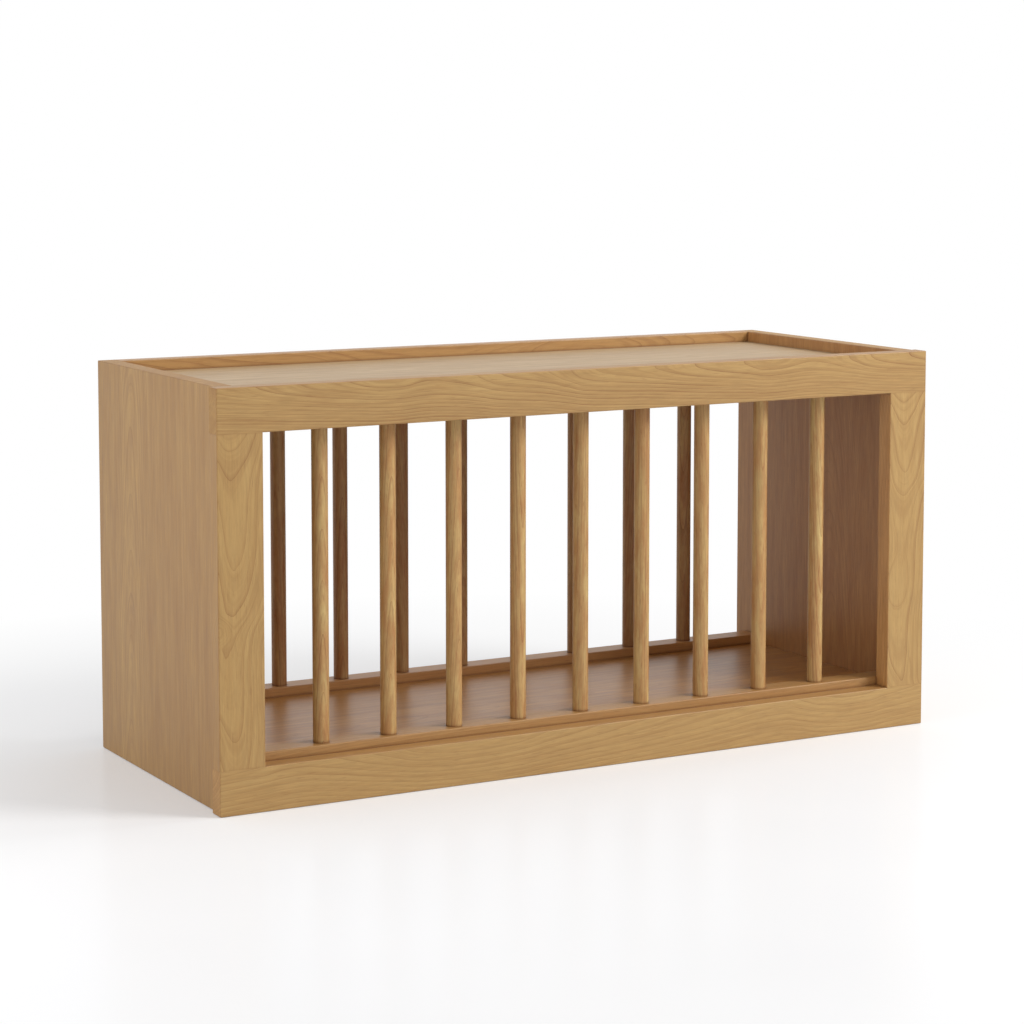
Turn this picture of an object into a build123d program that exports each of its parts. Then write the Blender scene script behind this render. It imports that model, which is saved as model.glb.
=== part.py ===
from build123d import *
import math
import os

# Plate rack: an open case of boards with a row of upright dowels at the front and another at the back.
# Plates stand on edge in the gaps between the dowels.
# Millimetres. X runs along the rack, Y from the front to the back, Z up.
# The origin is on the surface that the rack stands on, under the middle of its outer box.

# Overall sizes
box_width = 762.0  # across the outer faces of the two side panels
overall_height = 381.0
overall_depth = 304.8  # face frame included
frame_overhang = 4.75  # how far the face frame stands past each side panel

# Face frame at the front: two stiles between two rails
frame_thickness = 18.0
stile_width = 44.0
top_rail_width = 41.0
bottom_rail_width = 41.0

# Side panels, top and bottom panels, back rails
side_thickness = 18.0
top_panel_thickness = 18.0
bottom_panel_thickness = 18.0
back_rail_thickness = 18.0
back_rail_width = 41.0
top_recess = 11.0  # from the rim down to the top panel
floor_drop = 0.9  # from the top edge of the bottom rail down to the bottom panel
dado_depth = 6.0  # grooves in the side panels that hold the top and bottom panels

# Dowels and the four drilled rails that hold them
dowel_count = 9
dowel_diameter = 15.0
dowel_rail_width = 24.0
dowel_rail_height = 9.5
dowel_seat_depth = 7.0  # blind holes in the dowel rails
dowel_tip_chamfer = 0.6
glue_gap = 0.1  # around a dowel or a pin in its hole

# Pocket screws that pull the frame and the back rails together
pocket_angle = 15.0  # degrees, between the screw and the face of its board
pocket_diameter = 9.6
pocket_seat_distance = 14.0  # from the joint back to the seat of the head
pocket_bite_share = 0.75  # how much of a board's thickness the screw reaches into
pocket_head_diameter = 8.4
pocket_head_height = 2.4
pocket_shank_diameter = 4.0
pocket_tip_share = 0.33  # chamfer of the screw's tip, as a share of the shank's diameter
pocket_screw_inset = 10.5  # from the edge of the board to the screw

# Countersunk screws that hold the dowel rails to the panels
strip_head_diameter = 6.6
strip_head_height = 2.4
strip_shank_diameter = 3.2
strip_bite_share = 0.6  # how much of the last board the screw reaches into
strip_screw_count = 4  # screws along each dowel rail
screw_clearance = 0.1  # around a screw in its hole

# Wooden pins between the stiles and the front edges of the side panels
pin_diameter = 8.0
pin_frame_share = 0.66  # how much of the stile's thickness the pin enters
pin_side_depth = 18.0
pin_height_shares = (0.3, 0.5, 0.7)  # heights of the pins, as shares of the rack's height
pin_end_chamfer = 0.8

edge_round = 1.0  # on edges that hands and plates meet
edge_search = 0.05  # how near a plane an edge is taken to lie on it
overrun = 10.0  # how far a cut runs past the face that it opens

# Places that follow from the sizes
frame_width = box_width + 2 * frame_overhang
front_face = -overall_depth / 2
back_face = overall_depth / 2
frame_back = front_face + frame_thickness
side_outer = box_width / 2
side_inner = side_outer - side_thickness
opening_half = frame_width / 2 - stile_width
opening_bottom = bottom_rail_width
opening_top = overall_height - top_rail_width
back_rail_front = back_face - back_rail_thickness
top_panel_high = overall_height - top_recess
top_panel_low = top_panel_high - top_panel_thickness
bottom_panel_high = bottom_rail_width - floor_drop
bottom_panel_low = bottom_panel_high - bottom_panel_thickness
lower_strip_high = bottom_panel_high + dowel_rail_height
upper_strip_low = top_panel_low - dowel_rail_height
front_row = frame_back + dowel_rail_width / 2
back_row = back_rail_front - dowel_rail_width / 2
dowel_pitch = 2 * opening_half / (dowel_count + 1)


def block(low, high):
    """A box between two opposite corners."""
    size = [b - a for a, b in zip(low, high)]
    centre = [(a + b) / 2 for a, b in zip(low, high)]
    return Pos(*centre) * Box(*size)


def rod(radius, low, high):
    """A round rod along Z from one height to another."""
    return Pos(0, 0, (low + high) / 2) * Cylinder(radius, high - low)


def along(point, direction):
    """Where a piece drawn upwards from the origin goes, to start at a point and run in a direction."""
    return Plane(origin=point, z_dir=direction).location


def edges_near(shape, axis, first, first_value, second, second_value):
    """The straight edges along one axis that lie on two planes."""
    found = shape.edges().filter_by(axis)
    found = found.filter_by_position(first, first_value - edge_search, first_value + edge_search)
    return found.filter_by_position(second, second_value - edge_search, second_value + edge_search)


def dowel_places(row):
    """Centre of each dowel of the row at this depth, from left to right."""
    return [(-opening_half + dowel_pitch * i, row) for i in range(1, dowel_count + 1)]


def strip_screw_places(row):
    """Centre of each screw of a dowel rail, in the middle of a gap beside a dowel."""
    gaps = [round(dowel_count * i / (strip_screw_count - 1)) for i in range(strip_screw_count)]
    first = -opening_half + dowel_pitch / 2
    return [(first + dowel_pitch * gap, row) for gap in gaps]


def frame_ring():
    """The whole face frame in one piece with its eased edges, before it is parted into boards."""
    half = frame_width / 2
    ring = block((-half, front_face, 0), (half, frame_back, overall_height))
    ring = fillet(ring.edges(), edge_round)
    ring -= block(
        (-opening_half, front_face - overrun, opening_bottom),
        (opening_half, frame_back + overrun, opening_top),
    )
    inner = []
    for z in (opening_bottom, opening_top):
        inner += edges_near(ring, Axis.X, Axis.Y, front_face, Axis.Z, z)
    for x in (-opening_half, opening_half):
        inner += edges_near(ring, Axis.Z, Axis.Y, front_face, Axis.X, x)
    return fillet(inner, edge_round)


def case_ring():
    """Sides and back in one piece with their eased edges, before they are parted into boards."""
    ring = block((-side_outer, frame_back, 0), (side_outer, back_face, overall_height))
    ring -= block(
        (-side_inner, frame_back - overrun, -overrun),
        (side_inner, back_rail_front, overall_height + overrun),
    )
    ring -= block(
        (-side_inner, frame_back, back_rail_width),
        (side_inner, back_face + overrun, overall_height - back_rail_width),
    )
    outer = []
    for z in (0, overall_height):
        outer += edges_near(ring, Axis.X, Axis.Y, back_face, Axis.Z, z)
        outer += edges_near(ring, Axis.X, Axis.Y, back_rail_front, Axis.Z, z)
        for x in (-side_outer, -side_inner, side_inner, side_outer):
            outer += edges_near(ring, Axis.Y, Axis.X, x, Axis.Z, z)
    for z in (back_rail_width, overall_height - back_rail_width):
        outer += edges_near(ring, Axis.X, Axis.Y, back_face, Axis.Z, z)
    for x in (-side_outer, -side_inner, side_inner, side_outer):
        outer += edges_near(ring, Axis.Z, Axis.Y, back_face, Axis.X, x)
    return fillet(outer, edge_round)


def pocket_screw(bite):
    """A pocket screw pointing up, with the seat of its head at the origin."""
    length = pocket_seat_distance + bite
    shank = rod(pocket_shank_diameter / 2, 0, length)
    tip = shank.edges().filter_by(GeomType.CIRCLE).sort_by(Axis.Z)[-1]
    shank = chamfer(tip, pocket_shank_diameter * pocket_tip_share)
    return shank + rod(pocket_head_diameter / 2, -pocket_head_height, 0)


def pocket_bore(bite, board_thickness):
    """The stepped hole for a pocket screw: a pilot ahead of the seat and a wide pocket behind it."""
    length = pocket_seat_distance + bite
    reach = board_thickness / math.sin(math.radians(pocket_angle))
    pilot = rod(pocket_shank_diameter / 2 + screw_clearance, 0, length + screw_clearance)
    return pilot + rod(pocket_diameter / 2, -reach, 0)


def pocket_bite(thickness):
    """How far a pocket screw reaches past the joint, for boards of this thickness."""
    return thickness * pocket_bite_share


def pocket_place(joint, towards, sink):
    """Where a pocket screw sits that crosses a joint at a point, sinking away from the drilled face."""
    lean = math.radians(pocket_angle)
    direction = Vector(*towards) * math.cos(lean) + Vector(*sink) * math.sin(lean)
    return along(Vector(*joint) - direction * pocket_seat_distance, direction)


def frame_screw_places():
    """Pocket screws from both ends of each stile into the rails."""
    middle = (front_face + frame_back) / 2
    places = []
    for side in (-1, 1):
        for inset in (pocket_screw_inset, stile_width - pocket_screw_inset):
            x = side * (frame_width / 2 - inset)
            places.append(pocket_place((x, middle, opening_top), (0, 0, 1), (0, -1, 0)))
            places.append(pocket_place((x, middle, opening_bottom), (0, 0, -1), (0, -1, 0)))
    return places


def back_screw_places(low, high):
    """Pocket screws from both ends of one back rail into the side panels."""
    middle = (back_rail_front + back_face) / 2
    places = []
    for side in (-1, 1):
        for z in (low + pocket_screw_inset, high - pocket_screw_inset):
            places.append(pocket_place((side * side_inner, middle, z), (side, 0, 0), (0, -1, 0)))
    return places


def all_back_screw_places():
    """Pocket screws of both back rails."""
    upper = back_screw_places(overall_height - back_rail_width, overall_height)
    return upper + back_screw_places(0, back_rail_width)


def pin_length():
    """Length of a wooden pin, from the bottom of its hole in the stile to the one in the side panel."""
    return frame_thickness * pin_frame_share + pin_side_depth


def pin_places(side):
    """Where the wooden pins of one side start, at the bottom of their holes in the stile."""
    x = side * (side_inner + side_outer) / 2
    y = frame_back - frame_thickness * pin_frame_share
    return [along((x, y, overall_height * share), (0, 1, 0)) for share in pin_height_shares]


def pin():
    """One wooden pin pointing up, with chamfered ends."""
    body = rod(pin_diameter / 2, 0, pin_length())
    return chamfer(body.edges().filter_by(GeomType.CIRCLE), pin_end_chamfer)


def pin_bore():
    """The hole for one wooden pin."""
    return rod(pin_diameter / 2 + glue_gap, 0, pin_length())


def strip_screw(first_thickness, last_thickness):
    """A countersunk screw pointing up, with the flat of its head at the origin."""
    length = first_thickness + last_thickness * strip_bite_share
    shank = rod(strip_shank_diameter / 2, 0, length)
    head = Pos(0, 0, strip_head_height / 2) * Cone(
        strip_head_diameter / 2, strip_shank_diameter / 2, strip_head_height
    )
    return shank + head


def strip_screw_bore(first_thickness, last_thickness):
    """The countersunk hole for one screw of a dowel rail."""
    length = first_thickness + last_thickness * strip_bite_share
    pilot = rod(strip_shank_diameter / 2 + screw_clearance, 0, length + screw_clearance)
    sink = Pos(0, 0, strip_head_height / 2) * Cone(
        strip_head_diameter / 2 + screw_clearance,
        strip_shank_diameter / 2 + screw_clearance,
        strip_head_height,
    )
    return pilot + sink


def lower_screw_places():
    """Screws up through the bottom panel into the two lower dowel rails."""
    spots = strip_screw_places(front_row) + strip_screw_places(back_row)
    return [along((x, y, bottom_panel_low), (0, 0, 1)) for x, y in spots]


def upper_screw_places():
    """Screws up through the two upper dowel rails into the top panel."""
    spots = strip_screw_places(front_row) + strip_screw_places(back_row)
    return [along((x, y, upper_strip_low), (0, 0, 1)) for x, y in spots]


def face_frame():
    """The four boards of the face frame, drilled for their screws and pins."""
    ring = frame_ring()
    for place in frame_screw_places():
        ring -= place * pocket_bore(pocket_bite(frame_thickness), frame_thickness)
    for side in (-1, 1):
        for place in pin_places(side):
            ring -= place * pin_bore()
    half = frame_width / 2
    low, high = opening_bottom, opening_top
    return {
        "face_top_rail": ring & block((-half, front_face, high), (half, frame_back, overall_height)),
        "face_bottom_rail": ring & block((-half, front_face, 0), (half, frame_back, low)),
        "face_left_stile": ring & block((-half, front_face, low), (-opening_half, frame_back, high)),
        "face_right_stile": ring & block((opening_half, front_face, low), (half, frame_back, high)),
    }


def case_boards():
    """The two side panels and the two back rails, with grooves and holes."""
    ring = case_ring()
    dado = side_inner + dado_depth
    left = ring & block((-side_outer, frame_back, 0), (-side_inner, back_face, overall_height))
    right = ring & block((side_inner, frame_back, 0), (side_outer, back_face, overall_height))
    upper = ring & block(
        (-side_inner, back_rail_front, overall_height - back_rail_width),
        (side_inner, back_face, overall_height),
    )
    lower = ring & block((-side_inner, back_rail_front, 0), (side_inner, back_face, back_rail_width))
    for low, high in ((top_panel_low, top_panel_high), (bottom_panel_low, bottom_panel_high)):
        groove = block((-dado, frame_back - overrun, low), (dado, back_rail_front, high))
        left -= groove
        right -= groove
    for place in all_back_screw_places():
        bore = place * pocket_bore(pocket_bite(side_thickness), back_rail_thickness)
        left, right, upper, lower = left - bore, right - bore, upper - bore, lower - bore
    for place in pin_places(-1):
        left -= place * pin_bore()
    for place in pin_places(1):
        right -= place * pin_bore()
    return {
        "left_side_panel": left,
        "right_side_panel": right,
        "back_top_rail": upper,
        "back_bottom_rail": lower,
    }


def panel(low, high):
    """A top or bottom panel whose ends sit in the grooves of the side panels."""
    dado = side_inner + dado_depth
    return block((-dado, frame_back, low), (dado, back_rail_front, high))


def panels():
    """The top and bottom panels, drilled for the screws of the dowel rails."""
    top = panel(top_panel_low, top_panel_high)
    bottom = panel(bottom_panel_low, bottom_panel_high)
    for place in upper_screw_places():
        top -= place * strip_screw_bore(dowel_rail_height, top_panel_thickness)
    for place in lower_screw_places():
        bottom -= place * strip_screw_bore(bottom_panel_thickness, dowel_rail_height)
    return {"top_panel": top, "bottom_panel": bottom}


def dowel_rail(row, low, seat_faces_up):
    """One drilled rail. The edges along its open face are eased."""
    high = low + dowel_rail_height
    half = dowel_rail_width / 2
    rail = block((-side_inner, row - half, low), (side_inner, row + half, high))
    open_face = high if seat_faces_up else low
    eased = []
    for y in (row - half, row + half):
        eased += edges_near(rail, Axis.X, Axis.Y, y, Axis.Z, open_face)
    rail = fillet(eased, edge_round)
    if seat_faces_up:
        seat = rod(dowel_diameter / 2 + glue_gap, high - dowel_seat_depth, high + overrun)
    else:
        seat = rod(dowel_diameter / 2 + glue_gap, low - overrun, low + dowel_seat_depth)
    for x, y in dowel_places(row):
        rail -= Pos(x, y, 0) * seat
    return rail


def dowel_rails():
    """The four drilled rails that hold the dowels."""
    made = {}
    for name, row in (("front", front_row), ("back", back_row)):
        lower = dowel_rail(row, bottom_panel_high, True)
        for place in lower_screw_places():
            lower -= place * strip_screw_bore(bottom_panel_thickness, dowel_rail_height)
        upper = dowel_rail(row, upper_strip_low, False)
        for place in upper_screw_places():
            upper -= place * strip_screw_bore(dowel_rail_height, top_panel_thickness)
        made[name + "_lower_dowel_rail"] = lower
        made[name + "_upper_dowel_rail"] = upper
    return made


def dowels():
    """Every dowel, each a piece of its own, from the seat below it to the seat above it."""
    low = lower_strip_high - dowel_seat_depth
    high = upper_strip_low + dowel_seat_depth
    body = rod(dowel_diameter / 2, low, high)
    body = chamfer(body.edges().filter_by(GeomType.CIRCLE), dowel_tip_chamfer)
    made = {}
    for name, row in (("front", front_row), ("back", back_row)):
        for number, (x, y) in enumerate(dowel_places(row), start=1):
            made[name + "_dowel_" + str(number)] = Pos(x, y, 0) * body
    return made


def fasteners():
    """Screws and pins. Fasteners of one kind and one joint share a node."""
    frame_screw = pocket_screw(pocket_bite(frame_thickness))
    back_screw = pocket_screw(pocket_bite(side_thickness))
    lower_screw = strip_screw(bottom_panel_thickness, dowel_rail_height)
    upper_screw = strip_screw(dowel_rail_height, top_panel_thickness)
    return {
        "face_frame_screws": Compound([place * frame_screw for place in frame_screw_places()]),
        "back_rail_screws": Compound([place * back_screw for place in all_back_screw_places()]),
        "lower_dowel_rail_screws": Compound([place * lower_screw for place in lower_screw_places()]),
        "upper_dowel_rail_screws": Compound([place * upper_screw for place in upper_screw_places()]),
        "frame_pins": Compound([place * pin() for side in (-1, 1) for place in pin_places(side)]),
    }


os.makedirs("parts", exist_ok=True)
pieces = {}
for group in (face_frame(), case_boards(), panels(), dowel_rails(), dowels(), fasteners()):
    pieces.update(group)
for node, shape in pieces.items():
    export_step(shape, "parts/" + node + ".step")
print(len(pieces), "nodes")
print("dowel pitch", round(dowel_pitch, 2))
print("clear gap between dowels", round(dowel_pitch - dowel_diameter, 2))
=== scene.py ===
# Plate rack: an open wooden case with a face frame, a sunk top and two rows of dowels.
import math
import bpy
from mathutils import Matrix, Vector


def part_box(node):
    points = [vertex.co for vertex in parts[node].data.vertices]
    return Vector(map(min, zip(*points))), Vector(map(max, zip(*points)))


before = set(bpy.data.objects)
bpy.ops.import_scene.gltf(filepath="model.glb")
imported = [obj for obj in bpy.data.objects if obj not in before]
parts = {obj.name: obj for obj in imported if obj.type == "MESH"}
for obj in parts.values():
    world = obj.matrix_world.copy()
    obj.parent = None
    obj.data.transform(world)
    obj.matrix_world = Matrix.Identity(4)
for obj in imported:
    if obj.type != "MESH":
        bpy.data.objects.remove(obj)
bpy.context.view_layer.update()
scene = bpy.context.scene
mm = 0.001                      # a millimetre in Blender's metres
print("frame:", len(parts), "pieces loaded")


def paint(red, green, blue):
    # a colour as a picture shows it, 0 to 255, taken through the sRGB curve to the linear one of Blender
    levels = [level / 255 for level in (red, green, blue)]
    linear = [((level + 0.055) / 1.055) ** 2.4 if level > 0.04 else level / 12.92 for level in levels]
    return (*linear, 1.0)


class NodeBench:
    # short ways to put nodes into the tree of a material, a group or the world
    def __init__(self, tree):
        self.tree = tree

    def join(self, socket, value):
        if isinstance(value, bpy.types.NodeSocket):
            self.tree.links.new(value, socket)
        else:
            socket.default_value = value

    def add(self, kind, plugs=None, **settings):
        # plugs pair a socket's name or number with a value or with another node's output
        node = self.tree.nodes.new("ShaderNode" + kind)
        for name, value in settings.items():
            setattr(node, name, value)
        for name, value in (plugs or {}).items():
            self.join(node.inputs[name], value)
        return node

    def calc(self, operation, *values, clamp=False):
        return self.add("Math", dict(enumerate(values)), operation=operation, use_clamp=clamp).outputs[0]

    def vector(self, operation, *values, out=0):
        return self.add("VectorMath", dict(enumerate(values)), operation=operation).outputs[out]

    def scaled(self, vector, factor):
        return self.add("VectorMath", {0: vector, "Scale": factor}, operation="SCALE").outputs[0]

    def split(self, vector):
        return self.add("SeparateXYZ", {0: vector}).outputs

    def pack(self, x, y, z):
        return self.add("CombineXYZ", {0: x, 1: y, 2: z}).outputs[0]

    def tint(self, red, green, blue):
        return self.add("CombineColor", {0: red, 1: green, 2: blue}).outputs[0]

    def noise(self, vector, scale, detail, rough):
        plugs = {"Vector": vector, "Scale": scale, "Detail": detail, "Roughness": rough}
        return self.add("TexNoise", plugs).outputs[0]

    def spread(self, value, reach):
        # takes 0 and 1 to minus and plus half the reach
        return self.calc("MULTIPLY", self.calc("SUBTRACT", value, 0.5), reach)

    def span(self, value, low, high, toLow=0.0, toHigh=1.0, smooth=False):
        # takes low and high to toLow and toHigh, and stays there beyond them
        kind = "SMOOTHSTEP" if smooth else "LINEAR"
        plugs = dict(enumerate((value, low, high, toLow, toHigh)))
        return self.add("MapRange", plugs, interpolation_type=kind).outputs[0]

    def blend(self, share, first, second, mode="MIX"):
        plugs = {0: share, 6: first, 7: second}         # the colour sockets of a mix node
        return self.add("Mix", plugs, data_type="RGBA", blend_type=mode, clamp_factor=True).outputs[2]


# What makes the wood look like wood, whatever the board, with lengths in metres. "noise" is marks per metre,
# detail and roughness. "range" is the two noise levels between which marks come out, and then what these
# levels become, where that isn't 0 and 1. "along" under 1 draws marks out further along the board.
grain = {
    "stretch": 0.11,            # a mark's width as a share of its length along the board
    "seedStep": 3.7,            # how far it is from one seed's marks to the next one's
    "broad": {"noise": (22.0, 1.0, 0.5), "reach": 0.0040},      # wander of the growth rings
    "fine": {"noise": (110.0, 2.0, 0.5), "reach": 0.00040},     # wobble of each single ring
    "climbAlong": 0.07,         # slope of the rings along the board, taken to be the same everywhere
    "leastClimb": 0.05,         # keeps lines from flooding a face that lies flat to the rings
    "line": {"width": 0.0010, "fade": 0.0036, "fadeShade": 0.5},        # dark late wood and its soft side
    "boldness": (0.5, 1.0),     # of the faintest and of the boldest ring
    "faded": {"noise": (45.0, 1.0, 0.5), "range": (0.35, 0.62, 0.6, 1.0)},      # stretches of paler line
    "broken": {"noise": (420.0, 3.0, 0.6), "range": (0.32, 0.6, 0.8, 1.0)},     # a line's uneven shade
    "stripes": {"noise": (110.0, 5.0, 0.68), "range": (0.3, 0.7)},
    # bands count their marks per ring, and "along" times as many per metre of board
    "bands": {"noise": (2.6, 3.0, 0.65), "range": (0.46, 0.62, 0.0, 0.26), "along": 5.0},
    "clouds": {"noise": (9.0, 2.0, 0.5), "range": (0.35, 0.7, 0.0, 0.35)},
    "fibres": {"noise": (600.0, 3.0, 0.65), "along": 0.6,
               "tone": (0.3, 0.7, 0.88, 1.08), "rough": (0.3, 0.7, -0.04, 0.05)},
    "pores": {"noise": (900.0, 1.0, 0.5), "along": 0.7, "range": (0.64, 0.74), "shade": 0.35},
    "endLean": (0.6, 0.9),      # how far a face looks along the board before it is end grain
    # painted shade and wear: every edge is darkened, partly to dull its highlight
    "edge": {"width": (0.0004, 0.0016), "shade": 0.24},                 # handled strip along every edge
    "wornAndShaded": {"noise": (60.0, 3.0, 0.6), "range": (0.35, 0.65, 0.25, 1.0)},
    # painted shade in the corner between two boards, where "range" starts from how open to the light it is
    "creaseShade": {"reach": 0.003, "samples": 4, "range": (0.35, 0.95, 0.95, 0.0),
               "tint": paint(84, 48, 24), "tintShare": 0.5},
    "lineRough": 0.08, "endRough": 0.15,                                # on top of the tone's roughness
    "bump": {"strength": 0.35, "depth": 0.00012, "fibres": 0.5, "lines": 0.5, "pores": 0.8},
}


def makeGrainGroup():
    # Cut wood: growth rings are cylinders round a heart line that lies below the board's show face, at the
    # depth Bend. A point's ring number is the count that the board gives for its place along the heart line,
    # plus its distance from that line beyond Bend over the ring spacing, with slow and fine noise added, and
    # the dark line sits where that number passes a whole one. Place is (along, across, depth below the show
    # face), and Facing is the surface's normal on the same axes.
    group = bpy.data.node_groups.new("cutWood", "ShaderNodeTree")
    takes = {"Vector": ("Place", "Facing", "Half Size"), "Color": ("Light", "Dark", "Line"),
             "Float": ("Ring Count", "Bend", "Heart Offset", "Ring Spacing", "Seed", "Sharpness", "Figure",
                       "Stripes", "Fibre", "End Grain", "Crease Shade", "Base Roughness")}
    gives = {"Color": ("Color",), "Float": ("Roughness",), "Vector": ("Normal",)}
    for way, sockets in (("INPUT", takes), ("OUTPUT", gives)):
        for kind, names in sockets.items():
            for name in names:
                group.interface.new_socket(name, in_out=way, socket_type="NodeSocket" + kind)
    bench = NodeBench(group)
    given = group.nodes.new("NodeGroupInput").outputs
    result = group.nodes.new("NodeGroupOutput").inputs

    along, across, deep = bench.split(given["Place"])
    shift = bench.calc("MULTIPLY", given["Seed"], grain["seedStep"])
    shortAlong = bench.calc("MULTIPLY", along, grain["stretch"])
    woodPlace = bench.vector("ADD", bench.pack(shortAlong, across, deep), bench.pack(shift, shift, shift))

    def speckle(name, where=woodPlace):
        return bench.noise(where, *grain[name]["noise"])

    def marked(name, where=woodPlace):
        return bench.span(speckle(name, where), *grain[name]["range"])

    def drawnOut(name):
        return bench.vector("MULTIPLY", woodPlace, (grain[name]["along"], 1.0, 1.0))

    # rings
    broad, fine = (bench.spread(speckle(name), grain[name]["reach"]) for name in ("broad", "fine"))
    side = bench.calc("SUBTRACT", across, given["Heart Offset"])
    below = bench.calc("SUBTRACT", given["Bend"], deep)
    radius = bench.vector("LENGTH", bench.pack(0.0, side, below), out=1)
    warped = bench.calc("ADD", bench.calc("SUBTRACT", radius, given["Bend"]), bench.calc("ADD", broad, fine))
    ringNumber = bench.calc("ADD", given["Ring Count"], bench.calc("DIVIDE", warped, given["Ring Spacing"]))
    toNext = bench.calc("SUBTRACT", 1.0, bench.calc("FRACT", ringNumber))

    # how fast the ring number climbs along the cut face, so that a line keeps its width where rings run flat
    climbDeep = bench.calc("MULTIPLY", bench.calc("DIVIDE", below, radius), -1.0)
    rise = bench.pack(grain["climbAlong"], bench.calc("DIVIDE", side, radius), climbDeep)
    outward = bench.vector("DOT_PRODUCT", rise, given["Facing"], out=1)
    onFace = bench.vector("SUBTRACT", rise, bench.scaled(given["Facing"], outward))
    climb = bench.calc("MAXIMUM", bench.vector("LENGTH", onFace, out=1), grain["leastClimb"])
    lineDistance = bench.calc("DIVIDE", bench.calc("MULTIPLY", toNext, given["Ring Spacing"]), climb)
    lineDistance = bench.calc("MULTIPLY", lineDistance, given["Sharpness"])

    # the line: a dark core with a soft side, bolder on some rings than on others
    line = grain["line"]
    core = bench.span(lineDistance, 0.0, line["width"], 1.0, 0.0, smooth=True)
    fade = bench.span(lineDistance, 0.0, line["fade"], line["fadeShade"], 0.0)
    ringChance = bench.add("TexWhiteNoise", {"W": bench.calc("FLOOR", ringNumber)}, noise_dimensions="1D")
    boldness = bench.span(ringChance.outputs[0], 0.0, 1.0, *grain["boldness"])
    lineMark = bench.calc("MULTIPLY", bench.calc("MAXIMUM", core, fade), boldness)
    lineMark = bench.calc("MULTIPLY", lineMark, bench.calc("MULTIPLY", marked("faded"), marked("broken")))
    lineMark = bench.calc("MULTIPLY", lineMark, given["Figure"], clamp=True)

    # stripes, faint bands that follow the rings, clouds, lines, fibres and pores, one over the other
    stripes = bench.calc("MULTIPLY", marked("stripes"), given["Stripes"], clamp=True)
    bandAlong = bench.calc("MULTIPLY", along, grain["bands"]["along"])
    bands = marked("bands", bench.pack(ringNumber, bandAlong, given["Seed"]))
    fibres, pores = speckle("fibres", drawnOut("fibres")), marked("pores", drawnOut("pores"))
    fibreTone = bench.span(fibres, *grain["fibres"]["tone"])
    color = bench.blend(stripes, given["Light"], given["Dark"])
    color = bench.blend(bench.calc("MULTIPLY", bands, given["Figure"]), color, given["Line"])
    color = bench.blend(marked("clouds"), color, given["Dark"])
    color = bench.blend(lineMark, color, given["Line"])
    fibred = bench.blend(1.0, color, bench.tint(fibreTone, fibreTone, fibreTone), "MULTIPLY")
    color = bench.blend(given["Fibre"], color, fibred)
    color = bench.blend(bench.calc("MULTIPLY", pores, grain["pores"]["shade"]), color, given["Line"])

    # end grain drinks more finish and goes darker
    lookAlong = bench.calc("ABSOLUTE", bench.split(given["Facing"])[0])
    endGrain = bench.span(lookAlong, *grain["endLean"])
    color = bench.blend(bench.calc("MULTIPLY", endGrain, given["End Grain"]), color, given["Line"])

    # painted shade and wear: edges darkened partly as wear, partly to dull the highlight on their rounding
    # the second smallest distance to a face is the distance to the nearest edge
    halfThick = bench.split(given["Half Size"])[2]
    fromMiddle = bench.vector("SUBTRACT", given["Place"], bench.pack(0.0, 0.0, halfThick))
    left = bench.split(bench.vector("SUBTRACT", given["Half Size"], bench.vector("ABSOLUTE", fromMiddle)))
    nearEdge = bench.calc("MAXIMUM", bench.calc("MINIMUM", left[0], left[1]),
                          bench.calc("MINIMUM", bench.calc("MAXIMUM", left[0], left[1]), left[2]))
    wearAndShade = bench.span(nearEdge, *grain["edge"]["width"], 1.0, 0.0, smooth=True)
    wearAndShade = bench.calc("MULTIPLY", wearAndShade, marked("wornAndShaded"))
    color = bench.blend(bench.calc("MULTIPLY", wearAndShade, grain["edge"]["shade"]), color, given["Line"])

    # painted shade: corners where boards meet darken by how little light reaches them, but not at the floor
    corner = grain["creaseShade"]
    free = bench.add("AmbientOcclusion", {"Distance": corner["reach"]}, samples=corner["samples"])
    aboveFloor = bench.split(bench.add("TexCoord").outputs["Object"])[2]
    offFloor = bench.span(aboveFloor, corner["reach"], corner["reach"] * 2)
    creaseShade = bench.calc("MULTIPLY", bench.span(free.outputs["AO"], *corner["range"]), offFloor)
    creaseShade = bench.calc("MULTIPLY", creaseShade, given["Crease Shade"])
    color = bench.blend(creaseShade, color, bench.blend(corner["tintShare"], given["Line"], corner["tint"]))

    # the same marks make the surface rougher and give it relief
    rough = bench.calc("ADD", given["Base Roughness"], bench.span(fibres, *grain["fibres"]["rough"]))
    rough = bench.calc("ADD", rough, bench.calc("MULTIPLY", lineMark, grain["lineRough"]))
    rough = bench.calc("ADD", rough, bench.calc("MULTIPLY", endGrain, grain["endRough"]))
    bump = grain["bump"]
    height = bench.calc("MULTIPLY", fibres, bump["fibres"])
    height = bench.calc("SUBTRACT", height, bench.calc("MULTIPLY", lineMark, bump["lines"]))
    height = bench.calc("SUBTRACT", height, bench.calc("MULTIPLY", pores, bump["pores"]))
    relief = bench.add("Bump", {"Strength": bump["strength"], "Distance": bump["depth"], "Height": height})
    bench.join(result["Color"], color)
    bench.join(result["Roughness"], rough)
    bench.join(result["Normal"], relief.outputs[0])
    return group


cutWood = makeGrainGroup()
print("grain: cut wood ready")


def timber(light, dark, line, rough):
    return {"light": paint(*light), "dark": paint(*dark), "line": paint(*line), "rough": rough}


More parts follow.
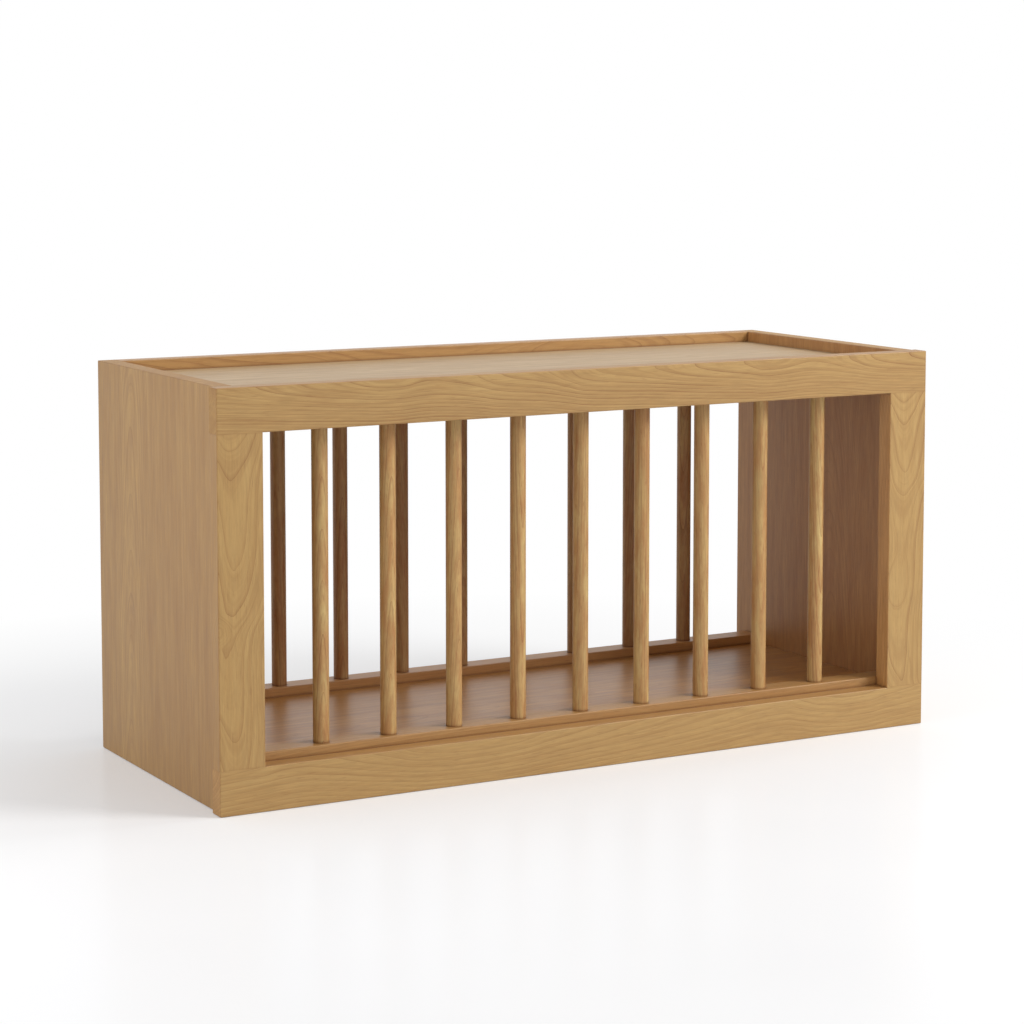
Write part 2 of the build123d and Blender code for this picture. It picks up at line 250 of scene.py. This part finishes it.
# the tones of the rack's timber: pale and dark ground, ring line, roughness
tones = {
    "frame": timber((190, 154, 96), (176, 137, 80), (142, 96, 50), 0.46),
    "side": timber((191, 151, 86), (158, 115, 61), (138, 94, 54), 0.48),
    # painted shade: a redder copy of the side tone for faces inside the case, standing in for the reddish
    # shade there
    "paintedShadeInner": timber((203, 153, 95), (171, 118, 66), (134, 86, 48), 0.46),
    # painted light: a paler copy of the frame tone for the right stile's inner edge, standing in for light
    # falling on it
    "paintedLightJamb": timber((219, 169, 105), (187, 134, 75), (138, 90, 50), 0.46),
    "top": timber((199, 171, 131), (167, 138, 98), (144, 108, 70), 0.50),
    "floor": timber((200, 146, 74), (160, 107, 48), (124, 80, 42), 0.37),
    "rail": timber((190, 148, 92), (176, 131, 76), (136, 88, 46), 0.44),
    "dowel": timber((215, 189, 125), (185, 137, 82), (138, 82, 40), 0.54),
}

# a thin satin lacquer lies on boards and dowels, and each of them says how much of it and how matt it is
lacquer = {"IOR": 1.48, "Coat IOR": 1.5}

# what every board has, unless its own entry says otherwise
plainBoard = {
    "sharpness": 1.0,           # of the ring lines
    "figure": 1.0,              # strength of ring lines and bands
    "stripes": 0.7, "fibre": 0.8,
    "end": 0.2,                 # darkness of end grain
    # the next number sets the painted shade in the corners that it has with other boards
    "creaseShade": 1.0,              # darkness of the corners that it has with other boards
    "coat": {"Coat Weight": 0.10, "Coat Roughness": 0.25},
}

# One entry for each board. "lie" names the axis that it runs along, the one across, and its show face. "tone"
# is the tone of that face, "rest" of the other faces, and "inside" of the edge towards the rack's middle.
# "bend" is how deep below the show face the heart lies, and "spacing" is from ring to ring, in millimetres.
# "heart" and "rings" pair a place along the board, in millimetres of the rack's own frame, with the heart's
# distance from the board's middle line, in millimetres, and with the ring number there. "knot" gives a knot's
# place along and across, its reach, and how many rings it lifts.
boards = {
    "face_left_stile": {
        "lie": ("z", "x", "-y"), "tone": "frame", "rest": "side",
        "bend": 60, "spacing": 2.4, "seed": 1, "end": 0.05,
        "heart": [(41, -6), (65, -7), (110, -13), (145, -15), (180, -9), (219, -5), (298, -8), (340, -9)],
        "rings": [(41, 22.7), (76, 22), (115, 21.35), (155, 21), (185, 20), (230, 19), (268, 18.6), (303, 18),
                  (326, 17), (340, 16.3)],
        "knot": (166, -22, 16, 2.6)},
    "face_right_stile": {
        # its inner edge takes the painted light of the pale jamb tone
        "lie": ("z", "x", "-y"), "tone": "frame", "rest": "side", "inside": "paintedLightJamb",
        "bend": 60, "spacing": 2.3, "seed": 2, "end": 0.05,
        "heart": [(41, -2), (122, -12), (185, -6), (236, -4), (260, -2), (340, -3)],
        "rings": [(41, 19.9), (75, 19.3), (112, 19), (145, 18.3), (186, 18.85), (212, 18.5), (234, 18),
                  (257, 17), (304, 16), (328, 15), (340, 14.2)]},
    "face_top_rail": {
        "lie": ("x", "z", "-y"), "tone": "frame", "rest": "side",
        "bend": 30, "spacing": 2.2, "seed": 3, "figure": 1.25, "end": 0.05,
        "heart": [(-386, 20.5), (386, 20.5)],
        "rings": [(-386, 20.5), (-360, 20), (-311, 19), (-256, 18), (-213, 17.5), (-176, 18), (-154, 17.75),
                  (-127, 17), (-103, 16), (-57, 15), (-32, 14), (-9, 13), (62, 12), (112, 11), (169, 10),
                  (194, 9.45), (248, 9.98), (294, 9), (321, 8), (370, 7), (386, 6.7)]},
    "face_bottom_rail": {
        "lie": ("x", "z", "-y"), "tone": "frame", "rest": "rail",
        "bend": 35, "spacing": 3.6, "seed": 4, "figure": 0.85, "end": 0.05,
        "heart": [(-386, 32), (386, 32)],
        "rings": [(-386, 30), (-345, 30.6), (-308, 31.1), (-290, 30.85), (-224, 29.1), (-165, 27.7),
                  (-130, 27.5), (-40, 28.75), (52, 30.3), (150, 32), (195, 32.8), (212, 32.9), (235, 32.3),
                  (270, 31.2), (300, 30.9), (340, 31.5), (386, 32.4)]},
    "left_side_panel": {
        "lie": ("z", "y", "-x"), "tone": "side",
        "bend": 50, "spacing": 2.2, "seed": 5, "figure": 0.95, "stripes": 0.85, "end": 0.0,
        "heart": [(0, 66), (160, 62), (381, 55)],
        "rings": [(0, 20), (37, 21), (118, 22), (161, 23), (205, 24), (280, 25.2), (338, 26), (381, 27.2)]},
    "right_side_panel": {
        # its inner face takes the painted shade of the redder inner tone, and its corners a weaker painted
        # shade
        "lie": ("z", "y", "-x"), "tone": "paintedShadeInner", "rest": "side",
        "bend": 45, "spacing": 2.4, "seed": 6, "figure": 0.45, "stripes": 0.85, "end": 0.0, "creaseShade": 0.3,
        "heart": [(0, -40), (381, -20)],
        "rings": [(0, 12), (120, 14), (250, 17), (381, 21)]},
    "top_panel": {
        "lie": ("x", "y", "+z"), "tone": "top",
        "bend": 50, "spacing": 2.6, "seed": 7, "figure": 0.6, "stripes": 1.1,
        "heart": [(-369, 40), (369, 10)],
        "rings": [(-369, 30), (-150, 26), (100, 22), (369, 17)]},
    "bottom_panel": {
        "lie": ("x", "y", "+z"), "tone": "floor",
        # a weaker painted shade in its corners
        "bend": 50, "spacing": 2.6, "seed": 8, "figure": 0.5, "stripes": 0.9, "creaseShade": 0.35,
        "heart": [(-369, -50), (369, -10)],
        "rings": [(-369, 22), (-100, 26), (150, 29), (369, 34)]},
    "back_top_rail": {
        "lie": ("x", "z", "-y"), "tone": "rail",
        "bend": 40, "spacing": 2.4, "seed": 9,
        "heart": [(-363, 2), (363, 14)],
        "rings": [(-363, 14), (-330, 15), (-290, 16), (-230, 17.4), (-180, 18), (-140, 19), (-90, 20.3),
                  (-40, 21), (0, 21.4), (40, 21), (90, 20), (150, 18.8), (230, 20), (300, 22), (363, 23)]},
    "back_bottom_rail": {
        "lie": ("x", "z", "+y"), "tone": "rail",
        "bend": 40, "spacing": 2.4, "seed": 10,
        "heart": [(-363, -14), (363, -4)],
        "rings": [(-363, 20), (-250, 17), (-150, 15.5), (60, 18), (220, 16), (363, 13)]},
    "front_lower_dowel_rail": {
        "lie": ("x", "y", "+z"), "tone": "rail",
        "bend": 30, "spacing": 2.2, "seed": 11, "figure": 0.6, "stripes": 1.0,
        "heart": [(-363, 18), (363, 12)],
        "rings": [(-363, 18), (-100, 14), (150, 16), (363, 12)]},
    "back_lower_dowel_rail": {
        # its show face takes the painted shade of the redder inner tone
        "lie": ("x", "y", "+z"), "tone": "paintedShadeInner",
        "bend": 30, "spacing": 2.2, "seed": 12, "figure": 0.35,
        "heart": [(-363, -16), (363, -10)],
        "rings": [(-363, 12), (-100, 16), (150, 13), (363, 15)]},
    "front_upper_dowel_rail": {
        "lie": ("x", "y", "-z"), "tone": "rail",
        "bend": 30, "spacing": 2.2, "seed": 13,
        "heart": [(-363, 18), (363, 10)],
        "rings": [(-363, 16), (0, 13), (363, 17)]},
    "back_upper_dowel_rail": {
        "lie": ("x", "y", "-z"), "tone": "rail",
        "bend": 30, "spacing": 2.2, "seed": 14,
        "heart": [(-363, -20), (363, -12)],
        "rings": [(-363, 13), (0, 17), (363, 14)]},
}


def newFinish(name):
    material = bpy.data.materials.new(name)
    material.use_nodes = True
    return material, NodeBench(material.node_tree), material.node_tree.nodes["Principled BSDF"]


def layWood(bench, shader, tone, look, plugs):
    # puts cut wood and its lacquer on the shader, and gives back the wood's colour
    plugs = {**plugs, "Line": tone["line"], "Base Roughness": tone["rough"], "Sharpness": look["sharpness"],
             "Figure": look["figure"], "Stripes": look["stripes"], "Fibre": look["fibre"],
             "End Grain": look["end"], "Crease Shade": look["creaseShade"]}
    wood = bench.add("Group", plugs, node_tree=cutWood).outputs
    bench.join(shader.inputs["Roughness"], wood["Roughness"])
    bench.join(shader.inputs["Normal"], wood["Normal"])
    for name, value in {**lacquer, **look["coat"]}.items():
        shader.inputs[name].default_value = value
    return wood["Color"]


def dress(node, material):
    parts[node].material_slots[0].material = material


def boardFinish(node, board):
    material, bench, shader = newFinish("wood_" + node)
    tone, rest = tones[board["tone"]], tones[board.get("rest", board["tone"])]
    low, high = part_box(node)
    centre, size = (low + high) / 2, high - low
    runs, over, show = board["lie"]
    axes = ["xyz".index(letter) for letter in (runs, over, show[1])]
    half = [size[axis] / 2 for axis in axes]
    sign = -1.0 if show[0] == "+" else 1.0          # depth grows from the show face into the board
    where = bench.add("TexCoord").outputs
    moved = bench.add("Mapping", {"Vector": where["Object"], "Location": tuple(-centre)})
    placed = bench.split(moved.outputs[0])
    along, across, third = (placed[axis] for axis in axes)
    normal = bench.split(where["Normal"])
    inward = bench.calc("MULTIPLY", normal[axes[2]], sign)

    def retone(share, ground, other):
        return {shade: bench.blend(share, ground[shade], other[shade]) for shade in ("light", "dark")}

    against = -0.5              # a normal that is below this on an axis looks against that axis
    ground = retone(bench.calc("GREATER_THAN", inward, against), tone, rest)
    if "inside" in board:
        outer = bench.calc("MULTIPLY", normal[axes[1]], math.copysign(1.0, centre[axes[1]]))
        ground = retone(bench.calc("LESS_THAN", outer, against), ground, tones[board["inside"]])

    def alongCurve(pairs):
        # a smooth curve through values given at places along the board, one unit clear of its graph's ends
        values = [value for _, value in pairs]
        least, reach = min(values) - 1, max(values) - min(values) + 2
        start, length = low[axes[0]], size[axes[0]]
        spots = [((place * mm - start) / length, (value - least) / reach) for place, value in pairs]
        graph = bench.add("FloatCurve", {"Value": bench.span(along, -half[0], half[0])})
        curve = graph.mapping.curves[0]
        curve.points[0].location, curve.points[1].location = spots[0], spots[-1]
        for spot in spots[1:-1]:
            curve.points.new(*spot)
        graph.mapping.update()
        return bench.calc("MULTIPLY_ADD", graph.outputs[0], reach, least)

    count = alongCurve(board["rings"])
    if "knot" in board:
        place, off, reach, lift = board["knot"]
        knot = (place * mm - centre[axes[0]], off * mm, 0.0)
        toKnot = bench.vector("SUBTRACT", bench.pack(along, across, 0.0), knot)
        distance = bench.vector("LENGTH", toKnot, out=1)
        count = bench.calc("ADD", count, bench.span(distance, 0.0, reach * mm, lift, 0.0, smooth=True))

    color = layWood(bench, shader, tone, board, {
        "Place": bench.pack(along, across, bench.calc("MULTIPLY_ADD", third, sign, half[2])),
        "Facing": bench.pack(normal[axes[0]], normal[axes[1]], inward), "Half Size": tuple(half),
        "Ring Count": count, "Bend": board["bend"] * mm, "Ring Spacing": board["spacing"] * mm,
        "Heart Offset": bench.calc("MULTIPLY", alongCurve(board["heart"]), mm),
        "Seed": float(board["seed"]), "Light": ground["light"], "Dark": ground["dark"]})
    bench.join(shader.inputs["Base Color"], color)
    return material


for node, board in boards.items():
    dress(node, boardFinish(node, {**plainBoard, **board}))
print("boards:", len(boards), "finished")

# the dowels share one material: each takes its own cut of wood from its place in the rack
dowelLook = {
    "pitch": 0.06835, "rowDepth": 0.1224,       # from dowel to dowel, and from the rack's middle to each row
    "draw": 1.5,                # another number here gives every dowel another cut
    "bend": 0.045, "spacing": 0.0026, "rings": 20.0, "seeds": 30.0,
    "heartSpread": 0.03,        # how far apart the hearts of two dowels may lie
    "runOut": 0.12,             # how far the grain may slant away from the dowel's axis, as a slope
    "shorten": 1.6,             # how much shorter marks are than on boards
    "farEdges": (1.0, 1.0, 1.0),                # so far away that no edge of a dowel is darkened
    "sharpness": 0.75, "figure": 0.85, "stripes": 1.25, "fibre": 0.8, "end": 0.3, "creaseShade": 1.0,
    "shades": (0.96, 1.02),     # the darkest and the palest dowel
    "backTint": (0.80, 0.73, 0.76),             # the back row stands in the shade and looks redder and darker
    "coat": {"Coat Weight": 0.03, "Coat Roughness": 0.4},
}


def dowelFinish(look):
    material, bench, shader = newFinish("wood_dowels")
    tone = tones["dowel"]
    where = bench.add("TexCoord").outputs
    x, y, z = bench.split(where["Object"])
    column = bench.calc("ROUND", bench.calc("DIVIDE", x, look["pitch"]))
    row = bench.calc("SIGN", y)                 # -1 in the front row, 1 in the back row
    draw = bench.pack(column, row, look["draw"])
    drawn = bench.add("TexWhiteNoise", {"Vector": draw}, noise_dimensions="3D").outputs["Color"]
    first, second, third = bench.add("SeparateColor", {0: drawn}).outputs
    turn = bench.calc("MULTIPLY", first, math.tau)

    def turned(vector):
        plugs = {"Vector": vector, "Angle": turn}
        return bench.split(bench.add("VectorRotate", plugs, rotation_type="Z_AXIS").outputs[0])

    localX = bench.calc("SUBTRACT", x, bench.calc("MULTIPLY", column, look["pitch"]))
    localY = bench.calc("SUBTRACT", y, bench.calc("MULTIPLY", row, look["rowDepth"]))
    across, deep, along = turned(bench.pack(localX, localY, z))
    facingAcross, facingDeep, facingAlong = turned(where["Normal"])
    across = bench.calc("MULTIPLY_ADD", along, bench.spread(third, look["runOut"]), across)
    deep = bench.calc("MULTIPLY_ADD", along, bench.spread(second, look["runOut"]), deep)

    color = layWood(bench, shader, tone, look, {
        "Place": bench.pack(bench.calc("MULTIPLY", along, look["shorten"]), across, deep),
        "Facing": bench.pack(facingAlong, facingAcross, facingDeep), "Half Size": look["farEdges"],
        "Ring Count": look["rings"], "Bend": look["bend"], "Ring Spacing": look["spacing"],
        "Heart Offset": bench.spread(first, look["heartSpread"]),
        "Seed": bench.calc("MULTIPLY", second, look["seeds"]),
        "Light": tone["light"], "Dark": tone["dark"]})
    shade = bench.span(third, 0.0, 1.0, *look["shades"])
    rowTint = (bench.span(row, -1.0, 1.0, 1.0, back) for back in look["backTint"])
    shades = [bench.calc("MULTIPLY", shade, tint) for tint in rowTint]
    bench.join(shader.inputs["Base Color"], bench.blend(1.0, color, bench.tint(*shades), "MULTIPLY"))
    return material


dowelMaterial = dowelFinish(dowelLook)
dowels = [f"{row}_dowel_{number}" for row in ("front", "back") for number in range(1, 10)]
for node in dowels:
    dress(node, dowelMaterial)
print("dowels:", len(dowels), "finished")

# screws and pins: patches of two colours, and small marks in a third one that also set roughness and bump
fasteners = {
    "screw_steel_worn": {
        "nodes": ("face_frame_screws", "back_rail_screws", "lower_dowel_rail_screws",
                  "upper_dowel_rail_screws"),
        "stretch": (1.0, 1.0, 1.0), "metallic": 1.0,
        "patches": (160.0, 3.0, 0.55), "patchRange": (0.3, 0.7),
        "marks": (900.0, 4.0, 0.65), "markRange": (0.55, 0.75), "roughRange": (0.25, 0.75, 0.22, 0.46),
        "colors": (paint(168, 170, 172), paint(128, 128, 126), paint(96, 94, 90)),
        "bump": 0.25, "depth": 0.00008},
    "pin_beech": {
        "nodes": ("frame_pins",),
        "stretch": (0.12, 1.0, 1.0), "metallic": 0.0,               # the pins and their grain run along x
        "patches": (160.0, 3.0, 0.5), "patchRange": (0.3, 0.7),
        "marks": (900.0, 3.0, 0.6), "markRange": (0.6, 0.72, 0.0, 0.6), "roughRange": (0.3, 0.7, 0.5, 0.66),
        "colors": (paint(214, 180, 138), paint(194, 154, 110), paint(150, 108, 72)),
        "bump": 0.3, "depth": 0.0001},
}


def fastenerFinish(name, look):
    material, bench, shader = newFinish(name)
    where = bench.vector("MULTIPLY", bench.add("TexCoord").outputs["Object"], look["stretch"])
    marks, patches = bench.noise(where, *look["marks"]), bench.noise(where, *look["patches"])
    first, second, third = look["colors"]
    color = bench.blend(bench.span(patches, *look["patchRange"]), first, second)
    color = bench.blend(bench.span(marks, *look["markRange"]), color, third)
    relief = bench.add("Bump", {"Strength": look["bump"], "Distance": look["depth"], "Height": marks})
    bench.join(shader.inputs["Base Color"], color)
    bench.join(shader.inputs["Roughness"], bench.span(marks, *look["roughRange"]))
    bench.join(shader.inputs["Normal"], relief.outputs[0])
    shader.inputs["Metallic"].default_value = look["metallic"]
    return material


for name, look in fasteners.items():
    material = fastenerFinish(name, look)
    for node in look["nodes"]:
        dress(node, material)
print("fasteners:", len(fasteners), "finishes")

# the room: a pale floor, a bright surround and soft lamps
room = {
    "floorHalf": 9.0, "floorDrop": 0.0003,
    "floorTone": (0.77, 0.79), "floorSpeck": (3.0, 2.0, 0.5), "speckRange": (0.3, 0.7),
    "floorCool": (1.007, 1.028),            # how much more green and blue than red the floor has
    "floorLift": 0.20,                      # what the camera sees on top of the floor's own light
    "floorGloss": 0.06, "glossRough": 0.22,
    "fadeCentre": (-0.15, -0.30, 0.0),      # round this place in front of the rack
    "fade": (0.45, 1.15),                   # the floor goes over into the white surround
    "surround": 0.50,                       # light of the surround on the rack
}
white = (1.0, 1.0, 1.0, 1.0)


def emptyBench(owner):
    owner.use_nodes = True
    owner.node_tree.nodes.clear()
    return NodeBench(owner.node_tree)


def seenDirectly(bench):
    # 1 for what the camera sees, also in gloss or through glass, and 0 for light that falls on the rack
    rays = bench.add("LightPath").outputs
    seen = bench.calc("MAXIMUM", rays["Is Camera Ray"], rays["Is Glossy Ray"])
    return bench.calc("MAXIMUM", seen, rays["Is Transmission Ray"])


def makeFloor():
    half, drop = room["floorHalf"], -room["floorDrop"]
    corners = [(-half, -half, drop), (half, -half, drop), (half, half, drop), (-half, half, drop)]
    mesh = bpy.data.meshes.new("floor")
    mesh.from_pydata(corners, [], [(0, 1, 2, 3)])
    floor = bpy.data.objects.new("floor", mesh)
    scene.collection.objects.link(floor)
    material = bpy.data.materials.new("floor_white")
    bench = emptyBench(material)
    where = bench.add("TexCoord").outputs["Object"]
    tone = bench.span(bench.noise(where, *room["floorSpeck"]), *room["speckRange"], *room["floorTone"])
    cooler, coolest = (bench.calc("MULTIPLY", tone, more) for more in room["floorCool"])
    matt = bench.add("BsdfDiffuse", {"Color": bench.tint(tone, cooler, coolest)})
    seen = seenDirectly(bench)
    extra = bench.calc("MULTIPLY", seen, room["floorLift"])
    lift = bench.add("Emission", {"Color": white, "Strength": extra})
    lit = bench.add("AddShader", {0: matt.outputs[0], 1: lift.outputs[0]})
    gloss = bench.add("BsdfGlossy", {"Color": white, "Roughness": room["glossRough"]})
    lit = bench.add("MixShader", {0: room["floorGloss"], 1: lit.outputs[0], 2: gloss.outputs[0]})
    bright = bench.add("Emission", {"Color": white, "Strength": 1.0})
    away = bench.vector("LENGTH", bench.vector("SUBTRACT", where, room["fadeCentre"]), out=1)
    share = bench.calc("MULTIPLY", bench.span(away, *room["fade"]), seen)
    mixed = bench.add("MixShader", {0: share, 1: lit.outputs[0], 2: bright.outputs[0]})
    bench.add("OutputMaterial", {"Surface": mixed.outputs[0]})
    mesh.materials.append(material)


def makeSurround():
    scene.world = bpy.data.worlds.new("surround")
    bench = emptyBench(scene.world)
    strength = bench.span(seenDirectly(bench), 0.0, 1.0, room["surround"], 1.0)
    light = bench.add("Background", {"Color": white, "Strength": strength})
    bench.add("OutputWorld", {"Surface": light.outputs[0]})


lampAim = Vector((0, 0, 0.17))              # about the middle of the rack
lamps = {
    "key_lamp": {"at": (1.84, -1.72, 1.80), "size": 1.3, "watts": 53, "tint": (1.0, 0.99, 0.97)},
    "side_lamp": {"at": (1.92, -0.17, 2.47), "size": 1.0, "watts": 12, "tint": (1.0, 0.99, 0.97)},
    "left_lamp": {"at": (-1.36, -0.24, 0.70), "size": 0.6, "watts": 4.2, "tint": (1.0, 1.0, 1.0)},
}


def makeLamp(name, lamp):
    data = bpy.data.lights.new(name, "AREA")
    data.shape = "DISK"
    data.size = lamp["size"]
    data.energy = lamp["watts"]
    data.color = lamp["tint"]
    light = bpy.data.objects.new(name, data)
    light.location = lamp["at"]
    light.rotation_euler = (lampAim - light.location).to_track_quat("-Z", "Y").to_euler()
    scene.collection.objects.link(light)


# the camera stands where the photograph was taken from, and looks down and to the right by so many degrees
view = {"at": (-1.3078, -2.3423, 0.6223), "down": 5.20, "turn": 29.05,
        "lens": 95.96, "sensor": 36.0, "shiftUp": -0.15,
        "sees": (0.05, 60.0)}                   # from the nearest to the farthest thing


def makeCamera():
    data = bpy.data.cameras.new("camera")
    data.lens, data.sensor_width, data.shift_y = view["lens"], view["sensor"], view["shiftUp"]
    data.clip_start, data.clip_end = view["sees"]
    camera = bpy.data.objects.new("camera", data)
    camera.location = view["at"]
    camera.rotation_euler = (math.radians(90 - view["down"]), 0.0, math.radians(-view["turn"]))
    scene.collection.objects.link(camera)
    scene.camera = camera


makeFloor()
makeSurround()
for name, lamp in lamps.items():
    makeLamp(name, lamp)
makeCamera()
scene.view_settings.view_transform = "Standard"
print("room: floor, surround, lamps and camera ready")
